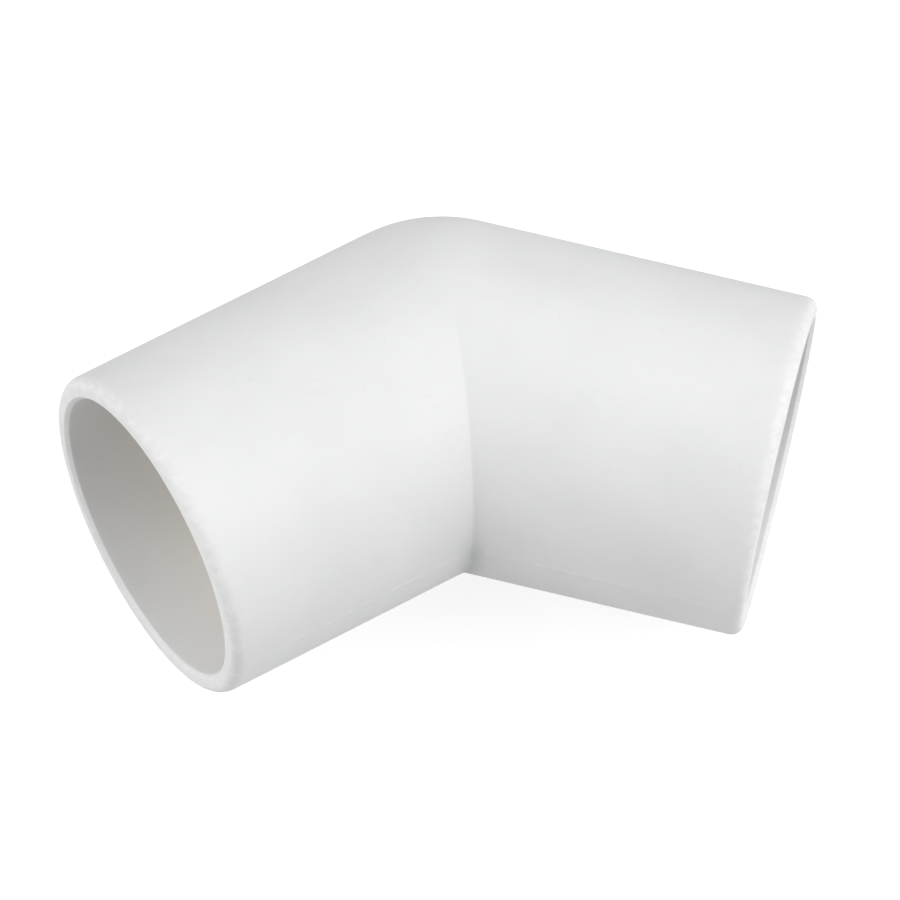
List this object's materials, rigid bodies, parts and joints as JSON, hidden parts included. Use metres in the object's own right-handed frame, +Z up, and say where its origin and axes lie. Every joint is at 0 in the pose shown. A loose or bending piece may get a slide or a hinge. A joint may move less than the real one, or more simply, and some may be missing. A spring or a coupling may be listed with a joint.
{
  "type": "pvc conduit elbow",
  "caption": "One-piece white PVC elbow that turns rigid electrical conduit through 45 degrees, with a plain solvent-weld socket at each end.",
  "frame": {"origin": "centre of the bounding box's footprint, on the surface that the elbow lies on; the two socket axes cross above it at x 0, y 4.88 mm, z 14.65 mm", "axes": "+Z up, square to the plane of the bend; both socket axes are level, one towards -X and one towards +X, each leaning 22.5 degrees towards -Y, so the outside of the bend faces +Y"},
  "size_m": [0.0648, 0.039, 0.0293],
  "materials": {
    "white_pvc": "as-moulded rigid PVC, a soft satin gloss"
  },
  "bodies": {
    "root": {"elbow_body": "white_pvc"}
  },
  "joints": []
}
